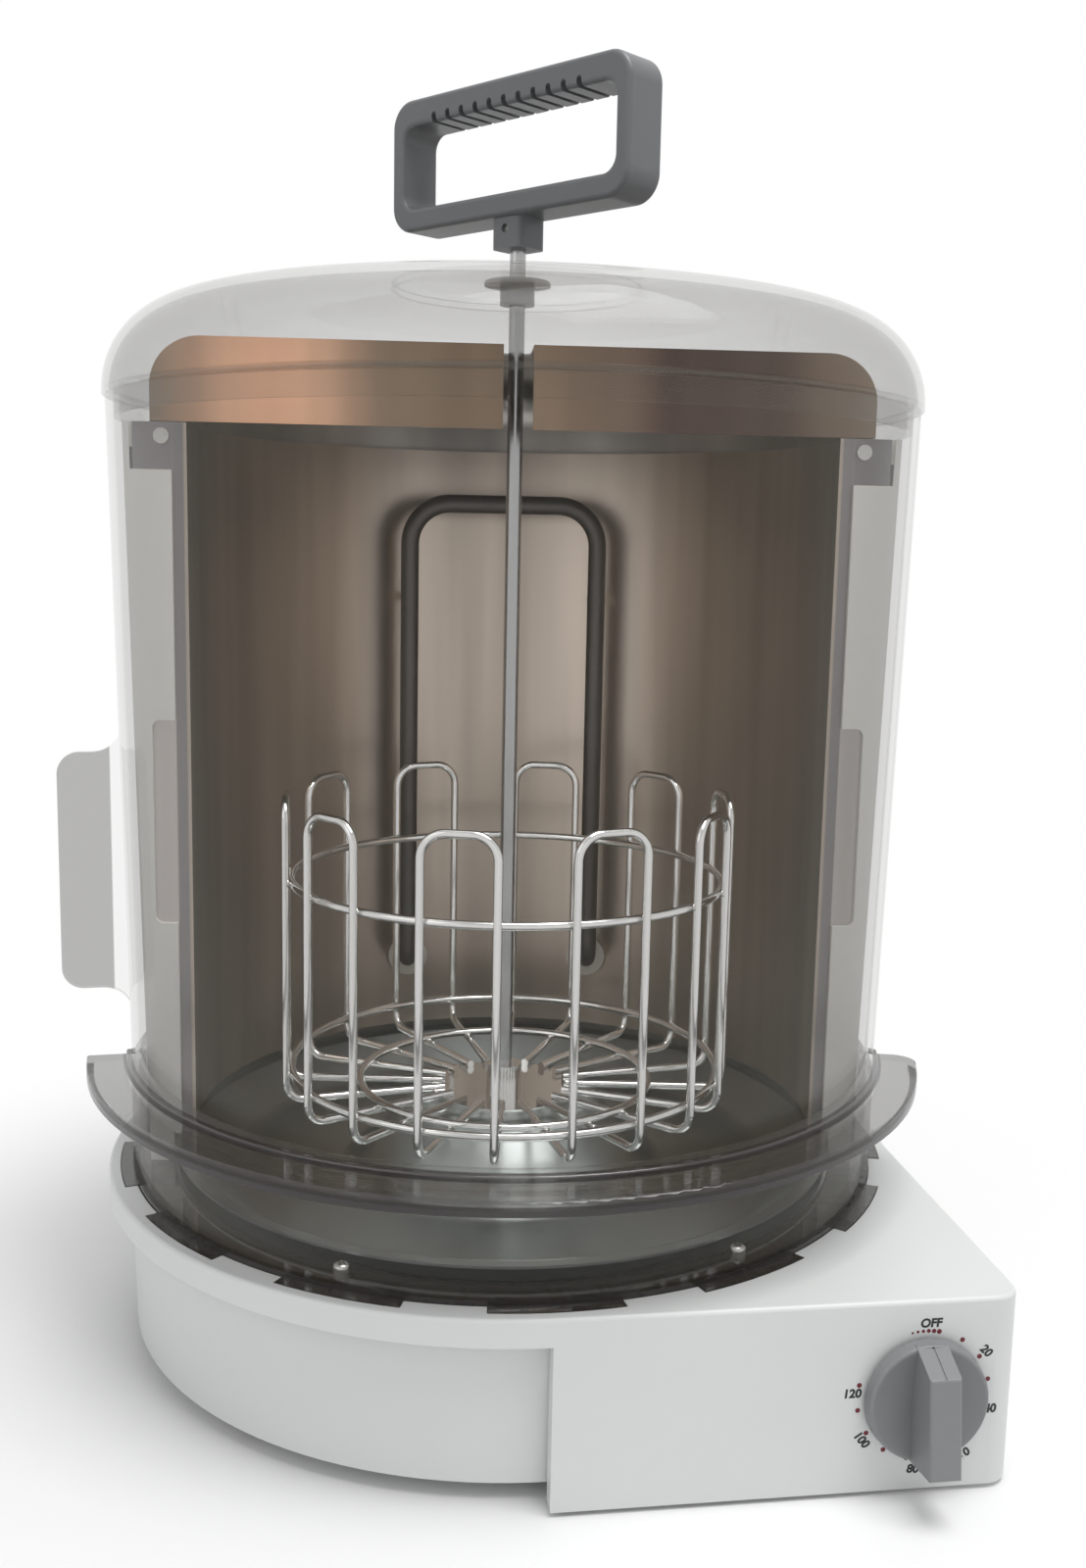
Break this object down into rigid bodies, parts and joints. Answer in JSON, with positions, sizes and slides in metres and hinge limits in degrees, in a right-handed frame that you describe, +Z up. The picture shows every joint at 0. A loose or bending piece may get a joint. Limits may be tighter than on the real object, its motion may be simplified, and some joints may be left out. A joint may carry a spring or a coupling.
{
  "type": "vertical rotisserie oven",
  "caption": "Tabletop rotisserie oven: round base with a timer knob, clear sliding door and dome, polished reflector with heater, wire food rack on a turning drip pan and a lift-out spit.",
  "frame": {"origin": "where the carousel's axis meets the table, at the centre of the standing ring", "axes": "+Z up along the spit, -Y out of the control panel's face, +X to the right seen from the front"},
  "size_m": [0.3253, 0.3319, 0.4735],
  "materials": {
    "white_plastic": "satin moulded",
    "smoked_plastic": "clear polished",
    "polished_sheet": "bright polished",
    "pan_metal": "satin",
    "chromed_wire": "polished",
    "grey_plastic": "fine moulded",
    "heater_sheath": "dark oxidised",
    "ceramic": "fired white",
    "zinc_steel": "zinc plated",
    "nylon": "natural",
    "black_rubber": "matte"
  },
  "bodies": {
    "oven": {"base_cover": "white_plastic", "base_tub": "white_plastic", "rear_housing": "white_plastic", "lower_ring": "smoked_plastic", "dome_cap": "smoked_plastic", "reflector": "polished_sheet", "reflector_hood": "polished_sheet", "heater_element": "heater_sheath", "heater_bushes": "ceramic", "base_screws": "zinc_steel", "ring_screws": "zinc_steel", "wing_screws": "zinc_steel", "dome_screws": "zinc_steel", "motor_screws": "zinc_steel", "timer_screws": "zinc_steel", "motor_plate": "zinc_steel", "gearmotor": "zinc_steel", "heater_clips": "zinc_steel", "thermal_cutout": "zinc_steel", "dome_bushing": "nylon", "terminal_block": "nylon", "timer_body": "nylon", "cord_gland": "black_rubber"},
    "sliding_door": {"door": "smoked_plastic"},
    "carousel": {"drive_axle": "chromed_wire", "drive_coupling": "nylon", "drip_pan": "pan_metal", "rack_hairpins": "chromed_wire", "rack_rings": "chromed_wire", "rack_hub": "chromed_wire"},
    "spit": {"spit_rod": "chromed_wire", "lift_handle": "grey_plastic", "handle_pin": "zinc_steel"},
    "timer_dial": {"timer_knob": "grey_plastic", "timer_shaft": "zinc_steel"}
  },
  "joints": [
    {"name": "door_slide", "type": "hinge", "parent": "oven", "child": "sliding_door", "pos_m": [0, 0, 0.23], "axis": [0, 0, 1], "range_deg": [0, 158]},
    {"name": "carousel_spin", "type": "hinge", "parent": "oven", "child": "carousel", "pos_m": [0, 0, 0.07], "axis": [0, 0, 1], "continuous": true},
    {"name": "spit_lift", "type": "slide", "parent": "carousel", "child": "spit", "axis": [0, 0, 1], "range_m": [0, 0.3]},
    {"name": "timer_turn", "type": "hinge", "parent": "oven", "child": "timer_dial", "pos_m": [0.12, -0.155, 0.0342], "axis": [0, 1, 0], "range_deg": [0, 280]}
  ]
}
